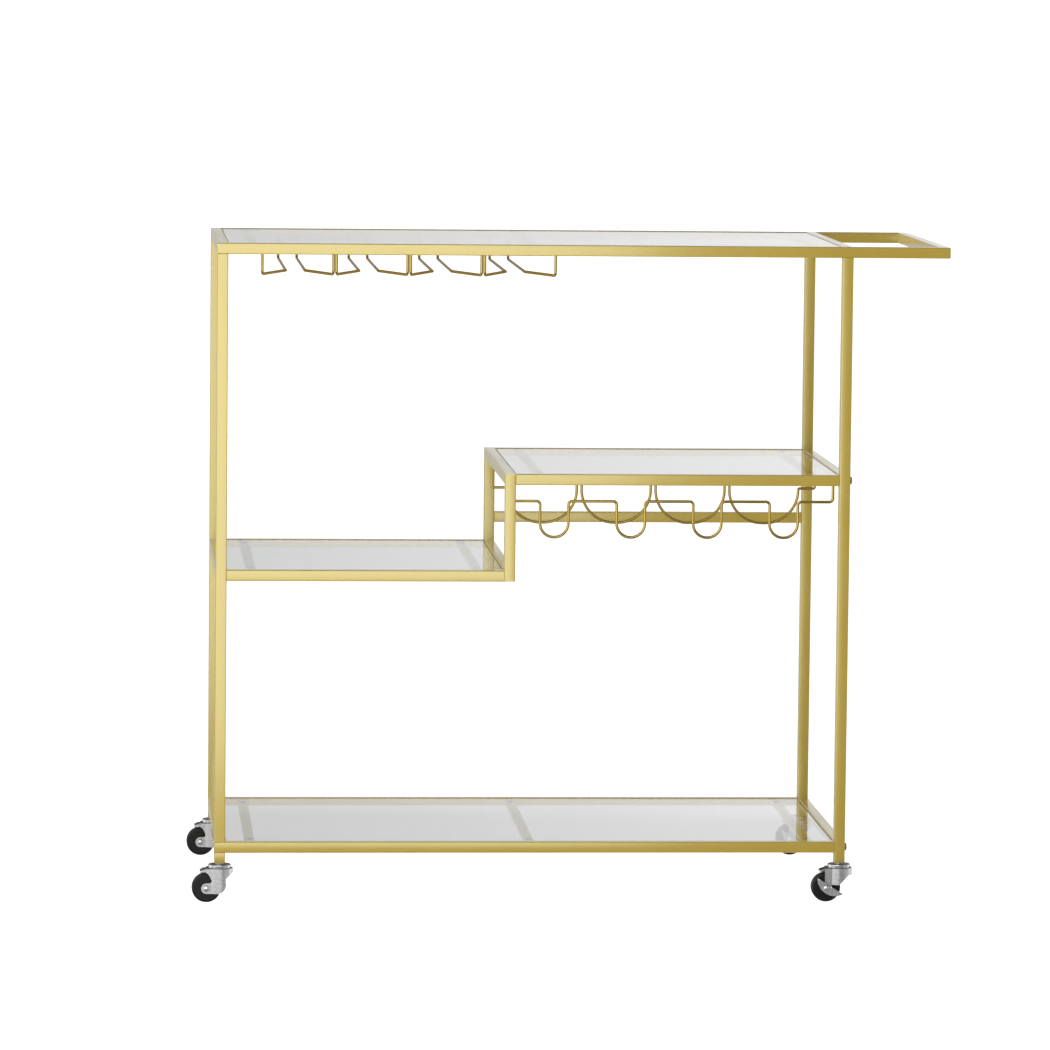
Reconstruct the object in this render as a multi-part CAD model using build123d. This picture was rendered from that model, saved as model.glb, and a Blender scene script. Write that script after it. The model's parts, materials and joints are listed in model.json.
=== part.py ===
from build123d import *
import math
import os

# A bar cart on four swivel casters: a welded square-tube frame with four glass
# panels, a stemware rack, a bottle rack and a push handle at the right end.
# All sizes are in millimetres. Pieces are drawn from the floor under the front
# left corner of the frame: +X runs to the handle, +Y to the back and +Z up.

# ---- Driving sizes of the frame ----
body_length = 867.0       # left face to the right face of the right legs
handle_reach = 133.0      # right face of the legs to the outside of the handle bar
frame_depth = 450.0       # front face to back face
frame_height = 901.5      # floor to the top of the top rails
step_left = 393.5         # left face of the posts between the low and the high shelf
low_shelf_top = 456.5
shelf_step = 132.5        # low shelf to high shelf
bottle_stop_drop = 91.5   # high shelf down to the rail behind the bottles
foot_high = 14.0          # caster to the underside of the bottom shelf rails

# ---- Square tube ----
tube = 15.0
tube_wall = 1.2
tube_edge = 1.3           # outer corner radius
cap_thick = 1.5           # cap welded into each open post end
fit_gap = 0.15            # around a plug pushed into a tube
mitre_gap = 0.05          # root gap of a mitred weld

# ---- Glass and what it lies on ----
glass_thick = 5.0
glass_gap = 1.0           # between the glass and the rails around it
glass_corner = 3.0
glass_recess = 0.7        # rail top to glass top
bar_wide = 14.0
bar_thick = 4.0
bar_inset = 34.0          # rail to the middle of the outermost bars
pad_radius = 4.0
pad_thick = 0.8
pad_inset = 30.0          # bar end to pad centre

# ---- Screws at the bolted corners ----
screw_radius = 3.0
screw_head_radius = 5.3
screw_head_high = 2.8
screw_socket = 4.0        # across flats
screw_socket_deep = 1.6
screw_hole_gap = 0.2      # radial, in the leg
screw_nut_gap = 0.04      # radial, in the nut
nut_long = 14.0

# ---- Wire racks ----
wire = 4.0                # rod diameter
stem_slots = 4
stem_first = 61.0         # left face to the first front post of the rack
stem_pitch = 100.8
stem_mouth = 96.5         # between the two front posts of a slot
stem_flare = 35.0         # how far each rod comes in
stem_flare_end = 105.0    # where the flare ends, from the front face
stem_drop = 27.0          # rail underside to rod centre
stem_bend = 5.0           # bend radius of the rods
bottle_pitch = 105.0
neck_first = 53.0         # step post to the middle of the first neck dip
neck_half = 19.4          # half width of a neck dip, rod centre
neck_drop = 22.3          # shelf rail underside to the rod centre between the dips
neck_dip = 49.4           # depth of a dip
neck_bend = 5.0
neck_end_gap = 8.0        # from the right leg to the rod that rises to the rail
body_wire_back = 305.0    # front face to the rear rod
body_first = 58.5         # step post to the middle of the first body arc
body_cusp = 7.0           # between neighbouring arcs, rod centres
body_drop = 30.1          # shelf rail underside to the rod centre at the ends
body_dip = 49.4           # depth of an arc
body_cusp_high = 8.0      # rise of the cusps above the ends
body_end_inset = 2.4      # rod centre inside the left edge of each side rail
body_end_bend = 2.6

# ---- Casters ----
wheel_radius = 20.0
tread_wide = 17.0
tread_round = 3.0
sidewall_deep = 0.5       # recessed ring in each side of the tyre
sidewall_inner = 13.2
sidewall_rim = 3.6        # tread to the outside of that ring
hub_radius = 12.0
hub_recess = 1.2
axle_radius = 3.0
caster_trail = 18.0
sheet = 1.5               # fork plate
plate_half = 14.8         # half the width over the fork plates
nose_radius = 18.1        # round front of the fork about the swivel
crown_thick = 1.8
crown_room = 5.2          # wheel top to crown underside
hood_reach = 27.0         # swivel axis to the back of the crown
hood_half = 10.0
hood_drop = 2.6           # fall of the hood behind the side plates
hood_lip = 4.0            # diameter of its rolled edge
race_radius = 15.5
race_high = 5.0
shoulder_inset = 0.1      # leg face to the edge of the shoulder
shoulder_high = 1.7
stem_radius = 4.0
stem_foot_radius = 6.5
stem_foot_high = 2.2
turn_gap = 0.3            # between turning faces
side_gap = 0.5            # each side of a wheel hub
run_gap = 0.06            # radial running clearance on axles
rivet_radius = 4.7
rivet_high = 2.0
boss_radius = 7.2         # round end of a plain fork plate
brake_boss_radius = 5.4   # the same on a braked fork
brake_lead = 5.0          # slanted front edge of a braked fork, ahead of its boss
brake_nose = 7.7          # crown underside to the lower edge of its nose
plain_nose = 3.5          # the same on a plain fork

# ---- Brake pedal ----
pedal_thick = 1.2
pedal_half = 20.4         # half the straight edge
pedal_deep = 10.8         # straight edge to the lowest point
pedal_rise = 4.0          # axle to the underside of the flanges
pedal_shift = 2.5         # axle to the middle of the straight edge
pedal_slope = 32.4        # degrees, toe end down
pedal_travel = 24.0       # degrees, from free to pressed
pedal_flange = 4.0
rivet_gap = 0.4           # rivet head to the toe flange
flange_stop = 6.4         # heel flange ends this far before the axle

# ---- Sizes that follow ----
caster_height = 2 * wheel_radius + crown_room + crown_thick + turn_gap + race_high + shoulder_high
frame_length = body_length + handle_reach
rail_back = frame_depth - tube
leg_right = body_length - tube
handle_left = frame_length - tube
post_right = step_left + tube
legs_top = frame_height - tube
high_shelf_top = low_shelf_top + shelf_step
shelf_under = high_shelf_top - tube
bottle_stop_top = high_shelf_top - bottle_stop_drop
bottom_shelf_top = caster_height + foot_high + tube
neck_level = shelf_under - neck_drop
neck_low = neck_level - neck_dip
body_level = shelf_under - body_drop
body_low = body_level - body_dip
body_cusp_top = body_level + body_cusp_high
plug_high = foot_high - 1.0
half_tube = tube / 2
shoulder_radius = half_tube - shoulder_inset
crown_low = 2 * wheel_radius + crown_room
crown_high = crown_low + crown_thick
pedal_reach = plate_half + turn_gap + pedal_thick
flange_start = math.sqrt(max((rivet_radius + rivet_gap) ** 2 - pedal_rise ** 2, 0))

# The origin is on the floor under the middle of the whole cart.
box_left = half_tube - caster_trail - wheel_radius
box_front = half_tube - pedal_reach - pedal_flange
box_back = rail_back + half_tube + max(plate_half + rivet_high, nose_radius)
origin_x = (box_left + frame_length) / 2
origin_y = (box_front + box_back) / 2

nodes = {}


def add(name, *solids):
    nodes[name] = list(solids)


def square_tube(start, along, run):
    """Hollow square tube; start is the corner of its outer box with the lowest coordinates."""
    middle = Vector(half_tube, half_tube, half_tube) - Vector(*along) * half_tube
    across = Vector(0, 1, 0) if along[0] else Vector(1, 0, 0)
    end = Plane(origin=Vector(*start) + middle, x_dir=across, z_dir=Vector(*along))
    inside = tube - 2 * tube_wall
    ring = RectangleRounded(tube, tube, tube_edge)
    ring -= RectangleRounded(inside, inside, max(tube_edge - tube_wall, 0.1))
    return extrude(end * ring, amount=run)


def rail_x(left, right, front, top):
    return square_tube((left, front, top - tube), (1, 0, 0), right - left)


def rail_y(left, front, back, top):
    return square_tube((left, front, top - tube), (0, 1, 0), back - front)


def post_z(left, front, low, high):
    return square_tube((left, front, low), (0, 0, 1), high - low)


def mitre(rail, corner_x, corner_y, into_x, into_y):
    """Cut a rail end at 45 degrees; into_x and into_y point from the outer corner into the frame."""
    box = rail.bounding_box().size
    side = 1 if box.X > box.Y else -1
    away = Vector(side * into_x, -side * into_y, 0)
    cut = Plane(origin=Vector(corner_x, corner_y, 0) + away * (mitre_gap / 2), z_dir=away)
    return split(rail, bisect_by=cut, keep=Keep.TOP)


def x_rod(radius, left, right, y, z):
    return Plane(origin=(left, y, z), z_dir=(1, 0, 0)) * Cylinder(radius, right - left, align=(
        Align.CENTER, Align.CENTER, Align.MIN))


def z_rod(radius, x, y, low, high):
    return Pos(x, y, low) * Cylinder(radius, high - low, align=(Align.CENTER, Align.CENTER, Align.MIN))


def bent_wire(points, radii):
    """Round rod swept along straight runs joined by tangent bends."""
    path = FilletPolyline(*points, radius=radii)
    return sweep(Plane(origin=path @ 0, z_dir=path % 0) * Circle(wire / 2), path=path)


# ---- Top frame: mitred ring, with a divider between the glass and the handle ----
top = frame_height
top_front = mitre(rail_x(0, frame_length, 0, top), 0, 0, 1, 1)
top_front = mitre(top_front, frame_length, 0, -1, 1)
top_rear = mitre(rail_x(0, frame_length, rail_back, top), 0, frame_depth, 1, -1)
top_rear = mitre(top_rear, frame_length, frame_depth, -1, -1)
top_left = mitre(rail_y(0, 0, frame_depth, top), 0, 0, 1, 1)
top_left = mitre(top_left, 0, frame_depth, 1, -1)
handle = mitre(rail_y(handle_left, 0, frame_depth, top), frame_length, 0, -1, 1)
handle = mitre(handle, frame_length, frame_depth, -1, -1)
add("top_front_rail", top_front)
add("top_rear_rail", top_rear)
add("top_left_rail", top_left)
add("top_divider_rail", rail_y(leg_right, tube, rail_back, top))
add("handle_bar", handle)

# ---- Legs ----
# The front left leg stands on the bottom front rail, with a short foot under it.
# The other three run from the caster to the top rail.
bottom_screw_z = bottom_shelf_top - half_tube
high_screw_z = high_shelf_top - half_tube
hole_radius = screw_radius + screw_hole_gap
add("front_left_leg", post_z(0, 0, bottom_shelf_top, legs_top))
add("front_left_foot", post_z(0, 0, caster_height, bottom_shelf_top - tube))
add("rear_left_leg", post_z(0, rail_back, caster_height, legs_top))
for name, front in (("front_right_leg", 0), ("rear_right_leg", rail_back)):
    leg = post_z(leg_right, front, caster_height, legs_top)
    for level in (bottom_screw_z, high_screw_z):
        leg -= x_rod(hole_radius, leg_right - 1, body_length + 1, front + half_tube, level)
    add(name, leg)

# ---- Step posts, from under the low shelf to the top of the high shelf ----
post_low = low_shelf_top - tube
caps = []
for name, front in (("front_step_post", 0), ("rear_step_post", rail_back)):
    add(name, post_z(step_left, front, post_low + cap_thick, high_shelf_top - cap_thick))
    cap = extrude(RectangleRounded(tube, tube, tube_edge), amount=cap_thick)
    for level in (post_low, high_shelf_top - cap_thick):
        caps.append(Pos(step_left + half_tube, front + half_tube, level) * cap)
add("post_caps", *caps)

# ---- Low shelf: between the left legs and the step posts ----
add("low_shelf_front_rail", rail_x(tube, step_left, 0, low_shelf_top))
add("low_shelf_rear_rail", rail_x(tube, step_left, rail_back, low_shelf_top))
add("low_shelf_left_rail", rail_y(0, tube, rail_back, low_shelf_top))
add("low_shelf_right_rail", rail_y(step_left, tube, rail_back, low_shelf_top))

# ---- High shelf: between the step posts and the right legs ----
add("high_shelf_front_rail", rail_x(post_right, leg_right, 0, high_shelf_top))
add("high_shelf_rear_rail", rail_x(post_right, leg_right, rail_back, high_shelf_top))
add("high_shelf_left_rail", rail_y(step_left, tube, rail_back, high_shelf_top))
add("high_shelf_right_rail", rail_y(leg_right, tube, rail_back, high_shelf_top))
add("bottle_stop_rail", rail_x(post_right, leg_right, rail_back, bottle_stop_top))

# ---- Bottom shelf: its front rail runs on under the front left leg ----
add("bottom_shelf_front_rail", mitre(rail_x(0, leg_right, 0, bottom_shelf_top), 0, 0, 1, 1))
add("bottom_shelf_rear_rail", rail_x(tube, leg_right, rail_back, bottom_shelf_top))
add("bottom_shelf_left_rail", mitre(rail_y(0, 0, rail_back, bottom_shelf_top), 0, 0, 1, 1))
add("bottom_shelf_right_rail", rail_y(leg_right, tube, rail_back, bottom_shelf_top))

# ---- Bolted corners: screw through the leg into a nut plug in the rail end ----
screws = []
nuts = []
plug_wide = tube - 2 * tube_wall - 2 * fit_gap
for leg_face, toward, front, level in (
    (body_length, -1, 0, bottom_screw_z),
    (body_length, -1, rail_back, bottom_screw_z),
    (body_length, -1, 0, high_screw_z),
    (body_length, -1, rail_back, high_screw_z),
):
    inward = Plane(origin=(leg_face, front + half_tube, level), x_dir=(0, 1, 0), z_dir=(toward, 0, 0))
    shank = extrude(Circle(screw_radius), amount=tube + nut_long - 1)
    head = extrude(Circle(screw_head_radius), amount=-screw_head_high)
    head = fillet(head.edges().group_by(Axis.Z)[0], screw_head_high * 0.6)
    socket = extrude(RegularPolygon(screw_socket / 2, 6, major_radius=False), amount=screw_socket_deep)
    screws.append(inward * (shank + head - Pos(0, 0, -screw_head_high) * socket))
    nut = extrude(Rectangle(plug_wide, plug_wide), amount=nut_long)
    nut -= extrude(Circle(screw_radius + screw_nut_gap), amount=nut_long)
    nuts.append(inward * Pos(0, 0, tube) * nut)
add("frame_screws", *screws)
add("rail_end_nuts", *nuts)

# ---- Glass panels, each on flat bars that run front to back, with clear pads ----
bars = []
pads = []


def glass_panel(name, left, right, rail_top, bar_count):
    """Glass in the frame opening from left to right, with its bars and pads."""
    long = right - left - 2 * glass_gap
    deep = rail_back - tube - 2 * glass_gap
    under = rail_top - glass_recess - glass_thick
    panel = extrude(RectangleRounded(long, deep, glass_corner), amount=glass_thick)
    panel = chamfer(panel.edges().group_by(Axis.Z)[0] + panel.edges().group_by(Axis.Z)[-1], 0.4)
    add(name, Pos((left + right) / 2, frame_depth / 2, under) * panel)
    first = left + bar_inset
    step = (right - left - 2 * bar_inset) / (bar_count - 1)
    bar = extrude(Rectangle(bar_wide, rail_back - tube), amount=-bar_thick)
    for number in range(bar_count):
        at = first + number * step
        bars.append(Pos(at, frame_depth / 2, under - pad_thick) * bar)
        for y in (tube + pad_inset, rail_back - pad_inset):
            pads.append(z_rod(pad_radius, at, y, under - pad_thick, under))


glass_panel("top_glass", tube, leg_right, frame_height, 3)
glass_panel("low_shelf_glass", tube, step_left, low_shelf_top, 2)
glass_panel("high_shelf_glass", post_right, leg_right, high_shelf_top, 2)
glass_panel("bottom_shelf_glass", tube, leg_right, bottom_shelf_top, 3)
add("glass_support_bars", *bars)
add("glass_pads", *pads)

# ---- Stemware rack: two rods to a slot, welded under the top rails ----
rod_low = legs_top - stem_drop


def stem_rod(x, inward):
    """Down from the front rail, in and back along the flare, straight back and up."""
    inner = x + inward * stem_flare
    back = rail_back + half_tube
    route = [
        (x, half_tube, legs_top),
        (x, half_tube, rod_low),
        (inner, stem_flare_end, rod_low),
        (inner, back, rod_low),
        (inner, back, legs_top),
    ]
    return bent_wire(route, stem_bend)


for slot in range(stem_slots):
    left = stem_first + slot * stem_pitch
    add("stemware_slot_%d" % (slot + 1), stem_rod(left, 1), stem_rod(left + stem_mouth, -1))

# ---- Bottle rack: a front rod dipped for the necks and a rear rod arched for the bodies ----
body_half = (bottle_pitch - body_cusp) / 2
body_bend = min(body_half - 0.5, body_level - body_low - body_end_bend - 0.3)
body_end = leg_right + body_end_inset
last_room = body_end - 2 * body_end_bend - 2 - body_half - (post_right + body_first)
bottle_count = 1 + int(last_room / bottle_pitch)

neck_route = [(post_right, half_tube, neck_level)]
neck_bends = []
for bottle in range(bottle_count):
    middle = post_right + neck_first + bottle * bottle_pitch
    neck_route += [
        (middle - neck_half, half_tube, neck_level),
        (middle - neck_half, half_tube, neck_low),
        (middle + neck_half, half_tube, neck_low),
        (middle + neck_half, half_tube, neck_level),
    ]
    neck_bends += [neck_bend, neck_half - 0.2, neck_half - 0.2, neck_bend]
neck_end = leg_right - neck_end_gap
neck_route += [(neck_end, half_tube, neck_level), (neck_end, half_tube, shelf_under)]
add("bottle_neck_wire", bent_wire(neck_route, neck_bends + [neck_bend]))

body_start = step_left + body_end_inset
body_route = [(body_start, body_wire_back, shelf_under), (body_start, body_wire_back, body_level)]
body_bends = [body_end_bend]
for bottle in range(bottle_count):
    middle = post_right + body_first + bottle * bottle_pitch
    first = bottle == 0
    last = bottle == bottle_count - 1
    body_route += [
        (middle - body_half, body_wire_back, body_level if first else body_cusp_top),
        (middle - body_half, body_wire_back, body_low),
        (middle + body_half, body_wire_back, body_low),
        (middle + body_half, body_wire_back, body_level if last else body_cusp_top),
    ]
    cusp_bend = body_cusp / 2 - 0.2
    body_bends += [body_end_bend if first else cusp_bend, body_bend, body_bend]
    body_bends += [body_end_bend if last else cusp_bend]
body_route += [(body_end, body_wire_back, body_level), (body_end, body_wire_back, shelf_under)]
add("bottle_body_wire", bent_wire(body_route, body_bends + [body_end_bend]))


# ---- Casters, drawn about their swivel axis and trailing towards -X ----
def side_profile(points, wide):
    """Side outline in X and Z, through the whole width of the caster."""
    face = Plane(origin=(0, wide / 2, 0), x_dir=(1, 0, 0), z_dir=(0, -1, 0))
    return extrude(face * make_face(points), amount=wide)


def fork_walls():
    """Plan of the folded plate, straight sides with a round nose, up to the crown."""
    join = -math.sqrt(nose_radius ** 2 - plate_half ** 2)
    reach = hood_reach + 5

    def outline(inset, back):
        half = plate_half - inset
        straight = Pos((join - back) / 2, 0) * Rectangle(back + join, 2 * half)
        return Circle(nose_radius - inset) + straight

    return extrude(outline(0, reach) - outline(sheet, reach + 1), amount=crown_low)


def plain_side():
    """Outline of an unbraked fork: a C-shaped notch behind, a deep plate in front."""
    axle_x = -caster_trail
    axle_z = wheel_radius
    boss_low = axle_z - boss_radius
    boss_top = axle_z + boss_radius
    return [
        Line((nose_radius + 1, crown_low), (nose_radius + 1, crown_low - plain_nose)),
        Line((nose_radius + 1, crown_low - plain_nose), (8.8, crown_low - 11.5)),
        Line((8.8, crown_low - 11.5), (8.4, boss_top + 2)),
        ThreePointArc((8.4, boss_top + 2), (6.2, boss_low + 5), (-1.5, boss_low)),
        Line((-1.5, boss_low), (axle_x, boss_low)),
        ThreePointArc((axle_x, boss_low), (axle_x - boss_radius, axle_z), (axle_x, boss_top)),
        Line((axle_x, boss_top), (axle_x + 4, boss_top)),
        ThreePointArc((axle_x + 4, boss_top), (axle_x + 7, boss_top + 2.6), (axle_x + 5.6, boss_top + 6.4)),
        ThreePointArc((axle_x + 5.6, boss_top + 6.4), (axle_x + 1.5, crown_low - 4.6),
                      (axle_x - 5.3, crown_low - 1.6)),
        Line((axle_x - 5.3, crown_low - 1.6), (axle_x - 5.3, crown_low)),
        Line((axle_x - 5.3, crown_low), (nose_radius + 1, crown_low)),
    ]


def braked_side():
    """Outline of a braked fork: upright rear edge and a leading edge cut back to the boss."""
    axle_x = -caster_trail
    axle_z = wheel_radius
    slant = math.sqrt(0.5) * brake_boss_radius
    foot = (axle_x + slant, axle_z - slant)
    nose_low = crown_low - brake_nose
    knee_x = foot[0] + brake_lead + (nose_low - foot[1])
    flare_x = -math.sqrt(nose_radius ** 2 - plate_half ** 2)
    slope = math.radians(pedal_slope - pedal_travel)
    pedal_top = axle_z + (pedal_rise + pedal_thick) / math.cos(slope) - (flare_x - axle_x) * math.tan(slope)
    step_z = pedal_top + side_gap
    rear = axle_x - 2.4
    rear_z = axle_z + math.sqrt(brake_boss_radius ** 2 - 2.4 ** 2)
    return [
        Line((nose_radius + 1, crown_low), (nose_radius + 1, nose_low)),
        Line((nose_radius + 1, nose_low), (knee_x, nose_low)),
        Line((knee_x, nose_low), (foot[0] + brake_lead + step_z - foot[1], step_z)),
        Line((foot[0] + brake_lead + step_z - foot[1], step_z), (flare_x, step_z)),
        Line((flare_x, step_z), foot),
        ThreePointArc(foot, (axle_x - slant, axle_z - slant), (rear, rear_z)),
        Line((rear, rear_z), (rear, crown_low)),
        Line((rear, crown_low), (nose_radius + 1, crown_low)),
    ]


def caster_fork(braked):
    """Pressed fork: folded sides, crown with a hood over the wheel and a rolled lip."""
    outline = braked_side() if braked else plain_side()
    fork = fork_walls() & side_profile(outline, 4 * plate_half)
    sides = Pos(-caster_trail / 2, 0) * Rectangle(caster_trail, 2 * plate_half)
    fork += Pos(0, 0, crown_low) * extrude(Circle(nose_radius) + sides, amount=crown_thick)
    bend = -caster_trail + crown_thick
    edge = -hood_reach + hood_lip / 2
    hood = side_profile([
        Line((bend, crown_low), (bend, crown_high)),
        Line((bend, crown_high), (edge, crown_high - hood_drop)),
        Line((edge, crown_high - hood_drop), (edge, crown_low - hood_drop)),
        Line((edge, crown_low - hood_drop), (bend, crown_low)),
    ], 2 * hood_half)
    fork += hood
    roll = Cylinder(hood_lip / 2, 2 * hood_half, rotation=(90, 0, 0))
    roll = fillet(roll.edges().filter_by(GeomType.CIRCLE), hood_lip * 0.3)
    fork += Pos(edge, 0, crown_high - hood_drop - hood_lip / 2) * roll
    fork -= z_rod(stem_radius + run_gap, 0, 0, crown_low - 1, crown_high + 1)
    axle_hole = Pos(-caster_trail, 0, wheel_radius) * Rot(90, 0, 0) * Cylinder(axle_radius, 4 * plate_half)
    return fork - axle_hole


def caster_stem():
    """Fixed half of the swivel: riveted foot, race plate, shoulder and threaded stud."""
    race_low = crown_high + turn_gap
    race = z_rod(race_radius, 0, 0, race_low, race_low + race_high)
    race = fillet(race.edges().group_by(Axis.Z)[-1], 1.4)
    foot_top = crown_low - turn_gap
    stem = race + z_rod(shoulder_radius, 0, 0, race_low + race_high, caster_height)
    stem += z_rod(stem_radius, 0, 0, foot_top - stem_foot_high, caster_height + plug_high - 1)
    return stem + z_rod(stem_foot_radius, 0, 0, foot_top - stem_foot_high, foot_top)


def y_turned(*outline):
    """Solid of revolution about the wheel axle; the outline's lines are in radius and width."""
    spun = revolve(Plane.XZ * make_face(outline), Axis.Z)
    return Pos(-caster_trail, 0, wheel_radius) * Rot(90, 0, 0) * spun


def caster_hub():
    half = plate_half - sheet - side_gap
    face = tread_wide / 2 - hub_recess
    bore = axle_radius + run_gap
    boss = bore + 2.4
    outline = [(bore, -half), (boss, -half), (boss, -face), (hub_radius, -face)]
    outline += [(hub_radius, face), (boss, face), (boss, half), (bore, half)]
    return y_turned(Polyline(*outline, close=True))


def caster_tyre():
    half = tread_wide / 2
    floor = half - sidewall_deep
    ring_out = wheel_radius - sidewall_rim
    side = [(hub_radius, half), (sidewall_inner, half), (sidewall_inner + sidewall_deep, floor)]
    side += [(ring_out - sidewall_deep, floor), (ring_out, half), (wheel_radius, half)]
    outline = side + [(radius, -width) for radius, width in reversed(side)]
    tyre = y_turned(Polyline(*outline, close=True))
    return fillet(tyre.edges().sort_by(lambda edge: -edge.length)[0:2], tread_round)


def caster_axle(front_reach):
    """Rivet with domed heads; front_reach is the plate or pedal face its front head lies on."""
    ball = (rivet_radius ** 2 + rivet_high ** 2) / (2 * rivet_high)
    turn = math.asin(rivet_radius / ball) / 2
    crown_radius = ball * math.sin(turn)
    crown_rise = rivet_high - ball * (1 - math.cos(turn))
    return y_turned(
        Line((0, front_reach + rivet_high), (0, -plate_half - rivet_high)),
        ThreePointArc((0, -plate_half - rivet_high), (crown_radius, -plate_half - crown_rise),
                      (rivet_radius, -plate_half)),
        Line((rivet_radius, -plate_half), (axle_radius, -plate_half)),
        Line((axle_radius, -plate_half), (axle_radius, front_reach)),
        Line((axle_radius, front_reach), (rivet_radius, front_reach)),
        ThreePointArc((rivet_radius, front_reach), (crown_radius, front_reach + crown_rise),
                      (0, front_reach + rivet_high)),
    )


def brake_pedal():
    """Rocker on the axle: a half-moon plate with a heel and a toe flange turned outwards."""
    arc = (pedal_half ** 2 + pedal_deep ** 2) / (2 * pedal_deep)
    disc = Pos(pedal_shift, pedal_rise - pedal_deep + arc) * Circle(arc)
    below = Pos(0, pedal_rise + pedal_thick - 2 * arc) * Rectangle(6 * arc, 4 * arc)
    plate = extrude((disc & below) - Circle(axle_radius + run_gap), amount=pedal_thick)
    ends = (pedal_shift - pedal_half + 1, pedal_shift + pedal_half - 1)
    for start, stop in ((ends[0], -flange_stop), (flange_start, ends[1])):
        flange = extrude(Rectangle(stop - start, pedal_thick), amount=pedal_thick + pedal_flange)
        flange = fillet(flange.edges().filter_by(Axis.Y).group_by(Axis.Z)[-1], pedal_flange * 0.45)
        plate += Pos((start + stop) / 2, pedal_rise + pedal_thick / 2, 0) * flange
    face = Plane(origin=(-caster_trail, -plate_half - turn_gap, wheel_radius), x_dir=(1, 0, 0), z_dir=(0, -1, 0))
    return face * Rot(0, 0, -pedal_slope) * plate


stems = []
plugs = []
caster_places = (
    ("front_left", half_tube, half_tube, False),
    ("rear_left", half_tube, rail_back + half_tube, False),
    ("front_right", body_length - half_tube, half_tube, True),
    ("rear_right", body_length - half_tube, rail_back + half_tube, True),
)
for corner, x, y, braked in caster_places:
    here = Pos(x, y, 0)
    stems.append(here * caster_stem())
    plug = extrude(Rectangle(plug_wide, plug_wide), amount=plug_high)
    plug -= extrude(Circle(stem_radius + screw_nut_gap), amount=plug_high)
    plugs.append(Pos(x, y, caster_height) * plug)
    add(corner + "_fork", here * caster_fork(braked))
    add(corner + "_axle", here * caster_axle(pedal_reach + turn_gap if braked else plate_half))
    add(corner + "_hub", here * caster_hub())
    add(corner + "_tyre", here * caster_tyre())
    if braked:
        add(corner + "_brake_pedal", here * brake_pedal())
add("caster_stems", *stems)
add("leg_foot_plugs", *plugs)

# ---- One STEP file for each node ----
os.makedirs("parts", exist_ok=True)
for name, solids in nodes.items():
    placed = [Pos(-origin_x, -origin_y, 0) * solid for solid in solids]
    piece = placed[0] if len(placed) == 1 else Compound(children=placed)
    piece.label = name
    export_step(piece, "parts/%s.step" % name)
print(len(nodes), "nodes, caster height %.2f" % caster_height, "origin", round(origin_x, 3), round(origin_y, 3))
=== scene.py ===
import json
import math

import bmesh
import bpy
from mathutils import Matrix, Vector


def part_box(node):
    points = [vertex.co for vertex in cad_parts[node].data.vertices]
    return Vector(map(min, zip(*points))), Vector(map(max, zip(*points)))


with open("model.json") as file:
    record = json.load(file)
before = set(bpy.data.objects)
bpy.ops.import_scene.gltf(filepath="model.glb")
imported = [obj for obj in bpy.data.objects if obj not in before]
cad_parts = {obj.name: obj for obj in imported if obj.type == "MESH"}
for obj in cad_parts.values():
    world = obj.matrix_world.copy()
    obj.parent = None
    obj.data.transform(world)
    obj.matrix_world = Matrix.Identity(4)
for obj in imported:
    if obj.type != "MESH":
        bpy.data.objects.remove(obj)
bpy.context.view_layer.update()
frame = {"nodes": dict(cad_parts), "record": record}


# ---- Camera ----
# A long lens stands left of the cart's middle and above its top shelf, and looks slightly down
# and to the right.
camera_place = (-0.66177, -8.47458, 1.30103)
camera_pitch, camera_roll, camera_heading = 84.603, -0.580, -4.0913
cart_camera = bpy.data.cameras.new("cart_camera")
cart_camera.sensor_width = 36
cart_camera.lens = 208.89
cart_camera.clip_end = 400
camera_stand = bpy.data.objects.new("camera_stand", cart_camera)
camera_stand.location = camera_place
camera_stand.rotation_euler = [math.radians(a) for a in (camera_pitch, camera_roll, camera_heading)]
bpy.context.scene.collection.objects.link(camera_stand)
bpy.context.scene.camera = camera_stand


# ---- Floor and light ----
# The cart stands on a white studio floor, which shows no shadow. The room is dim overhead, with
# a bright wall behind the cart and greyer ones at its sides, and a wide soft panel lights the
# front from the left.
class Link:
    """An output socket of a node; arithmetic on links adds Math nodes."""

    def __init__(self, finish, socket):
        self.finish, self.socket = finish, socket

    def maths(self, operation, first, second=0.0):
        return self.finish.node("Math", {"operation": operation}, {0: first, 1: second})

    def __add__(self, other):
        return self.maths("ADD", self, other)

    def __sub__(self, other):
        return self.maths("SUBTRACT", self, other)

    def __rsub__(self, other):
        return self.maths("SUBTRACT", other, self)

    def __mul__(self, other):
        return self.maths("MULTIPLY", self, other)

    def __abs__(self):
        return self.maths("ABSOLUTE", self)

    __radd__ = __add__
    __rmul__ = __mul__


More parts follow.
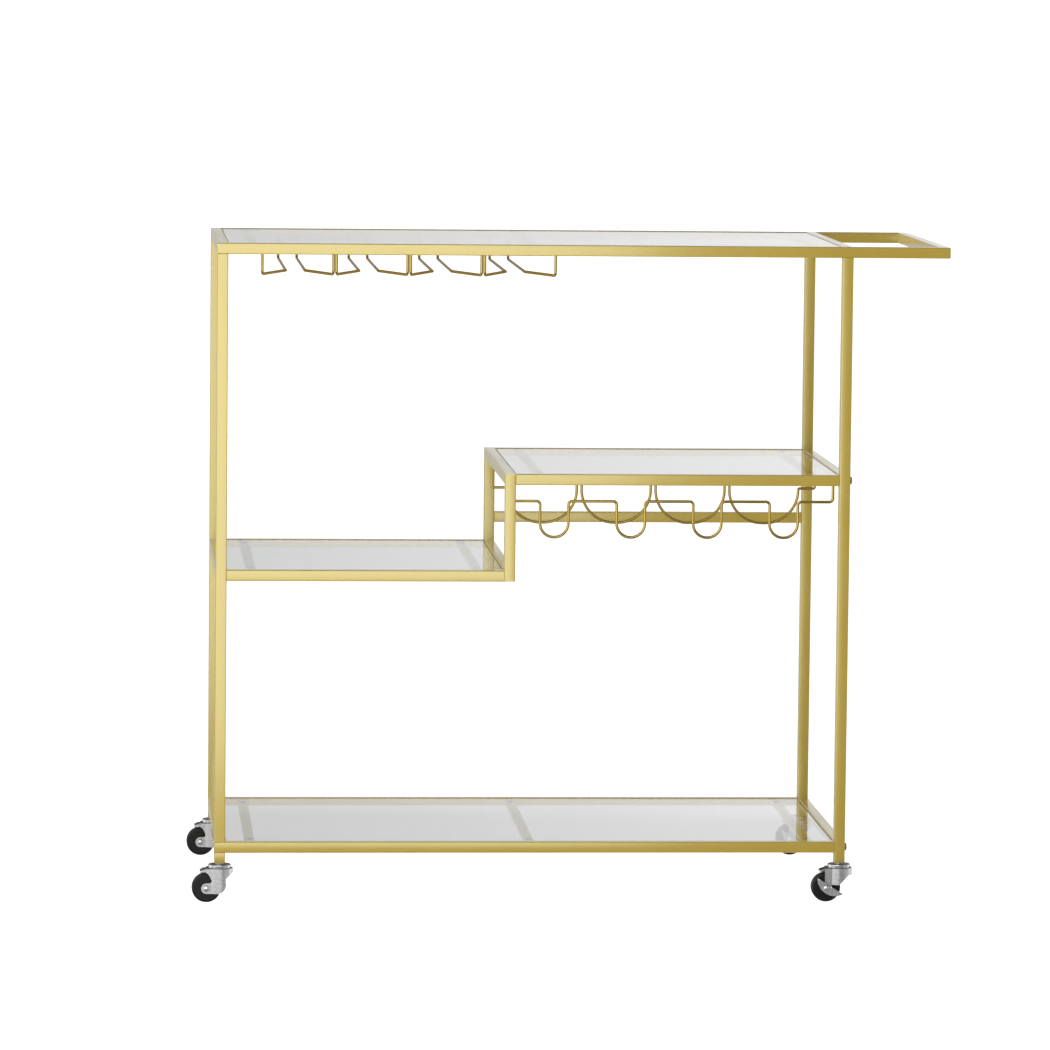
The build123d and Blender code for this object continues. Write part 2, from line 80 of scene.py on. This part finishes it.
class Finish:
    """A material, or the world, while its nodes are put in."""

    def __init__(self, owner):
        self.owner = owner
        owner.use_nodes = True
        self.tree = owner.node_tree
        self.tree.nodes.clear()

    def node(self, kind, settings=None, sockets=None, out=0):
        made = self.tree.nodes.new("ShaderNode" + kind)
        for name, value in (settings or {}).items():
            if name == "stops":
                while len(made.color_ramp.elements) < len(value):
                    made.color_ramp.elements.new(0.5)
                for element, (place, colour) in zip(made.color_ramp.elements, value):
                    element.position = place
                    parts = colour if isinstance(colour, tuple) else (colour, colour, colour)
                    element.color = (*parts, 1)
            else:
                setattr(made, name, value)
        for name, value in (sockets or {}).items():
            if isinstance(value, Link):
                self.tree.links.new(value.socket, made.inputs[name])
            else:
                made.inputs[name].default_value = value
        return Link(self, made.outputs[out]) if made.outputs else made

    def axes(self, vector):
        """The X, Y and Z parts of a vector, as three links."""
        parts = self.node("SeparateXYZ", None, {"Vector": vector}).socket.node.outputs
        return [Link(self, parts[axis]) for axis in "XYZ"]

    def smooth(self, value, low, high, at_low=0.0, at_high=1.0):
        """at_low where value is below low, at_high where it is above high, and an S curve between."""
        return self.node("MapRange", {"interpolation_type": "SMOOTHSTEP"}, {
            "Value": value, "From Min": low, "From Max": high,
            "To Min": at_low, "To Max": at_high})


floor_radius = 200
disc = bmesh.new()
bmesh.ops.create_circle(disc, cap_ends=True, segments=64, radius=floor_radius)
floor_mesh = bpy.data.meshes.new("studio_floor")
disc.to_mesh(floor_mesh)
studio_floor = bpy.data.objects.new("studio_floor", floor_mesh)
bpy.context.scene.collection.objects.link(studio_floor)
studio_floor.visible_glossy = False
studio_floor.visible_shadow = False
floor_finish = Finish(bpy.data.materials.new("white_floor"))
matt = floor_finish.node("BsdfDiffuse", None, {"Color": (0.70, 0.70, 0.70, 1)})
seen = floor_finish.node("LightPath", None, None, "Is Camera Ray")
lights_cart = floor_finish.node("LightPath", None, None, "Is Diffuse Ray")
to_camera, to_cart, to_all = 0.6, 0.28, 0.40     # light that the floor adds for each kind of ray
own_light = floor_finish.node("Emission", None, {
    "Color": (1, 1, 1, 1), "Strength": seen * to_camera + lights_cart * to_cart + to_all})
floor_finish.node("OutputMaterial", None, {"Surface": floor_finish.node("AddShader", None, {
    0: matt, 1: own_light})})
floor_mesh.materials.append(floor_finish.owner)

room = Finish(bpy.data.worlds.new("white_room"))
toward = room.node("TexCoord", None, None, "Generated")
right, back, up = room.axes(toward)
ceiling, below, wall_top = 0.22, 0.10, 0.140
wall = room.smooth(back, -0.05, 0.30) * room.smooth(up, 0.75, 0.15)
sides = room.smooth(abs(right), 0.55, 0.9) * room.smooth(up, 0.9, 0.2)
above = room.smooth(up, -0.06, 0.0, below, ceiling)
wall_light = room.smooth(right, -0.02, 0.15, 0.66, 0.97)
wall_light = wall_light * room.smooth(up, wall_top, wall_top + 0.002, 1.0, 0.88)
glow = above + wall * (wall_light - ceiling) + sides * room.smooth(right, -0.3, 0.3, 0.50, 0.25)
room_light = room.node("Background", None, {"Color": (1, 1, 1, 1), "Strength": glow})
room_seen = room.node("Background", None, {"Color": (1, 1, 1, 1), "Strength": 1.0})
seen = room.node("LightPath", None, None, "Is Camera Ray")
room.node("OutputWorld", None, {"Surface": room.node("MixShader", None, {
    0: seen, 1: room_light, 2: room_seen})})
bpy.context.scene.world = room.owner
bpy.context.scene.view_settings.view_transform = "Standard"


def softbox(name, place, aim, wide, high, radiance):
    """A soft panel of light; radiance is how bright it looks, where 1 is white paper in full light."""
    lamp = bpy.data.lights.new(name, "AREA")
    lamp.shape = "RECTANGLE"
    lamp.size, lamp.size_y = wide, high
    lamp.energy = radiance * math.pi * wide * high
    stand = bpy.data.objects.new(name, lamp)
    stand.location = place
    stand.rotation_euler = (Vector(aim) - Vector(place)).to_track_quat("-Z", "Y").to_euler()
    stand.visible_camera = False
    bpy.context.scene.collection.objects.link(stand)


box_right, box_wide, box_low, box_high, box_away = 0.28, 3.2, -0.12, 2.12, 2.2
box_x, box_z = box_right - box_wide / 2, box_low + box_high / 2
softbox_light = 1.58
box_place, box_aim = (box_x, -box_away, box_z), (box_x, 0, box_z)
softbox("front_left_softbox", box_place, box_aim, box_wide, box_high, softbox_light)


# ---- Square tube, wires and bars ----
# The frame is thin-walled square steel tube, mitred and welded, ground flush at the joints and
# sprayed with a satin gold lacquer. Flat bars under the glass and the wire racks are the same.
brush_across, brush_along = 900, 14      # grain of the brushing, per metre
hair_deep = 0.0000025                    # metres
crown = 7.5                              # fall of a tube's face away from its middle, per metre
tube_limit = 0.016                       # a tube is no wider than this; a rack or a group of bars is
slots = {part["node"]: part["material_slot"] for part in frame["record"]["subparts"]}


def satin_gold(name, along, middle=None):
    """Brushed, lacquered gold. along is the axis that the piece runs along, and middle the centre
    of a tube, whose rolled faces are slightly crowned."""
    gold = Finish(bpy.data.materials.new(name))
    place = gold.node("TexCoord", None, None, "Object")
    grain = [brush_across] * 3
    grain[along] = brush_along
    stretched = gold.node("Mapping", {"vector_type": "POINT"}, {"Vector": place, "Scale": grain})
    hairs = gold.node("TexNoise", None, {"Vector": stretched, "Scale": 1.0, "Detail": 3, "Roughness": 0.6})
    clouds = gold.node("TexNoise", None, {"Vector": place, "Scale": 9.0, "Detail": 2})
    # Painted shade: a darker, deeper gold is mixed onto the rounded corners of the tubes, where the metal
    # rolls away from the light.
    facing = gold.node("TexCoord", None, None, "Normal")
    x, y, z = (abs(part) for part in gold.axes(facing))
    edge = gold.smooth(x * x * x * x + y * y * y * y + z * z * z * z, 0.55, 0.98, 1.0, 0.0)
    lacquer = [(0.30, (0.565, 0.378, 0.028)), (0.70, (0.600, 0.406, 0.036))]
    colour = gold.node("ValToRGB", {"stops": lacquer}, {0: clouds})
    corner_shade_gold = (0.40, 0.26, 0.015, 1)
    shaded_corners = gold.node("Mix", {"data_type": "RGBA"}, {0: edge * 0.45, 6: colour, 7: corner_shade_gold}, 2)
    height = hairs * hair_deep
    if middle:
        for axis, part in enumerate(gold.axes(place)):
            if axis != along:
                off = part - middle[axis]
                height = height - off * off * crown
    bump = gold.node("Bump", None, {"Strength": 1.0, "Distance": 1.0, "Height": height})
    gold.node("OutputMaterial", None, {"Surface": gold.node("BsdfPrincipled", None, {
        "Base Color": shaded_corners, "Metallic": 0.08, "Roughness": 0.20 + hairs * 0.03 + clouds * 0.04,
        "Normal": bump, "IOR": 2.7, "Specular Tint": (0.90, 1.0, 0.74, 1), "Anisotropic": 0.5,
        "Anisotropic Rotation": 0.25 if along == 0 else 0.0, "Coat Weight": 0.6, "Coat Roughness": 0.10})})
    return gold.owner


def paint(names, material):
    for name in names:
        mesh = frame["nodes"][name].data
        mesh.materials.clear()
        mesh.materials.append(material)


for name, slot in slots.items():
    if slot == "satin_gold":
        low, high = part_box(name)
        size = high - low
        run = max(range(3), key=lambda axis: size[axis])
        tube_like = sorted(size)[1] < tube_limit
        paint([name], satin_gold("satin_gold_" + name, run, (low + high) / 2 if tube_like else None))


# ---- Rods and screws ----
# The racks are bent from 4 mm steel rod, and the screws are button heads with a hexagon socket.
# Both have the frame's gold, polished, with a darker tint where the metal turns away.
shiny = Finish(bpy.data.materials.new("polished_gold"))
place = shiny.node("TexCoord", None, None, "Object")
clouds = shiny.node("TexNoise", None, {"Vector": place, "Scale": 40.0, "Detail": 2})
polish = [(0.30, (0.50, 0.36, 0.09)), (0.70, (0.56, 0.41, 0.11))]
colour = shiny.node("ValToRGB", {"stops": polish}, {0: clouds})
shiny.node("OutputMaterial", None, {"Surface": shiny.node("BsdfPrincipled", None, {
    "Base Color": colour, "Metallic": 0.85, "Roughness": 0.16 + clouds * 0.06,
    "Specular Tint": (0.35, 0.25, 0.10, 1)})})
polished = ("stemware", "bottle_neck", "bottle_body", "frame_screws")
paint([name for name in slots if name.startswith(polished)], shiny.owner)


# ---- Glass panels ----
# Four clear tempered panels, 5 mm thick, with ground and polished edges, lie loose on the bars
# inside the rails.
glass_names = [name for name, slot in slots.items() if slot == "clear_glass"]
glass = Finish(bpy.data.materials.new("clear_tempered_glass"))
place = glass.node("TexCoord", None, None, "Object")
ripple = glass.node("TexNoise", None, {"Vector": place, "Scale": 3.0, "Detail": 1})
wave = glass.node("Bump", None, {"Strength": 0.02, "Distance": 0.002, "Height": ripple})
facing = glass.node("TexCoord", None, None, "Normal")
upright = abs(glass.axes(facing)[2])
rim = glass.smooth(upright, 0.3, 0.95, 1.0, 0.0)
face_tint, rim_tint = (0.90, 0.91, 0.915, 1), (0.72, 0.84, 0.80, 1)
tint = glass.node("Mix", {"data_type": "RGBA"}, {0: rim, 6: face_tint, 7: rim_tint}, 2)
pane = glass.node("BsdfPrincipled", None, {
    "Base Color": tint, "Roughness": rim * 0.12, "Normal": wave, "IOR": 1.52, "Transmission Weight": 1.0})
lets_light_through = glass.node("BsdfTransparent", None, {"Color": (0.90, 0.93, 0.92, 1)})
lamp_ray = glass.node("LightPath", None, None, "Is Shadow Ray")
glass.node("OutputMaterial", None, {"Surface": glass.node("MixShader", None, {
    0: lamp_ray, 1: pane, 2: lets_light_through})})
paint(glass_names, glass.owner)


# ---- Pads under the glass ----
# Small round pads of clear soft plastic, a little hazy, are stuck on the support bars. The glass
# lies on them, so that it doesn't rattle.
pad = Finish(bpy.data.materials.new("clear_soft_pad"))
place = pad.node("TexCoord", None, None, "Object")
haze = pad.node("TexNoise", None, {"Vector": place, "Scale": 400.0, "Detail": 2})
pad.node("OutputMaterial", None, {"Surface": pad.node("BsdfPrincipled", None, {
    "Base Color": (0.92, 0.93, 0.93, 1), "Roughness": 0.25 + haze * 0.2, "IOR": 1.42,
    "Transmission Weight": 0.85})})
paint([name for name, slot in slots.items() if slot == "clear_pad"], pad.owner)


# ---- Caster forks and pedals ----
# Pressed from steel sheet and zinc plated: a satin grey with a faint mottle. The faces that look up
# are painted near black, a painted shade for the shade that falls under the frame.
def plated(name, low, high, dark, shine, mottle_scale):
    metal = Finish(bpy.data.materials.new(name))
    place = metal.node("TexCoord", None, None, "Object")
    mottle = metal.node("TexNoise", None, {"Vector": place, "Scale": mottle_scale, "Detail": 4})
    colour = metal.node("ValToRGB", {"stops": [(0.30, low), (0.70, high)]}, {0: mottle})
    # Painted shade: the colour goes near black on the faces that look up.
    facing = metal.node("TexCoord", None, None, "Normal")
    up = metal.axes(facing)[2]
    shade = metal.smooth(up, 0.35, 0.9, 0.0, 0.75)
    shaded_colour = metal.node("Mix", {"data_type": "RGBA"}, {0: shade, 6: colour, 7: (dark, dark, dark, 1)}, 2)
    bump = metal.node("Bump", None, {"Strength": 0.15, "Distance": 0.0001, "Height": mottle})
    metal.node("OutputMaterial", None, {"Surface": metal.node("BsdfPrincipled", None, {
        "Base Color": shaded_colour, "Metallic": 0.8, "Roughness": shine + mottle * 0.12, "Normal": bump,
        "Specular Tint": (0.2, 0.2, 0.2, 1)})})
    return metal.owner


pressed = [name for name in slots if name.endswith(("_fork", "_brake_pedal"))]
paint(pressed, plated("zinc_plate", (0.78, 0.78, 0.79), (0.86, 0.86, 0.87), 0.01, 0.22, 300.0))


# ---- Caster stems and rivets ----
# Turned from steel bar, with a bright, mirror-like plate, and the same painted shade, near black, on
# the faces that look up. The stems stand in plugs in the leg ends, and the rivets close the forks
# over the wheels. The nuts in the rail ends match them.
turned = ["caster_stems", "leg_foot_plugs", "rail_end_nuts"]
turned += [name for name in slots if name.endswith("_axle")]
paint(turned, plated("bright_plate", (0.78, 0.78, 0.79), (0.88, 0.88, 0.89), 0.01, 0.08, 200.0))


# ---- Wheels ----
# Solid rubber tyres moulded on nylon hubs, both near black; the rubber has a fine matt grain.
rubber = Finish(bpy.data.materials.new("tyre_rubber"))
place = rubber.node("TexCoord", None, None, "Object")
grit = rubber.node("TexNoise", None, {"Vector": place, "Scale": 1200.0, "Detail": 3})
colour = rubber.node("ValToRGB", {"stops": [(0.30, 0.003), (0.70, 0.008)]}, {0: grit})
bump = rubber.node("Bump", None, {"Strength": 0.25, "Distance": 0.0002, "Height": grit})
rubber.node("OutputMaterial", None, {"Surface": rubber.node("BsdfPrincipled", None, {
    "Base Color": colour, "Roughness": 0.38 + grit * 0.2, "Normal": bump})})
paint([name for name, slot in slots.items() if slot in ("black_rubber", "black_nylon")], rubber.owner)
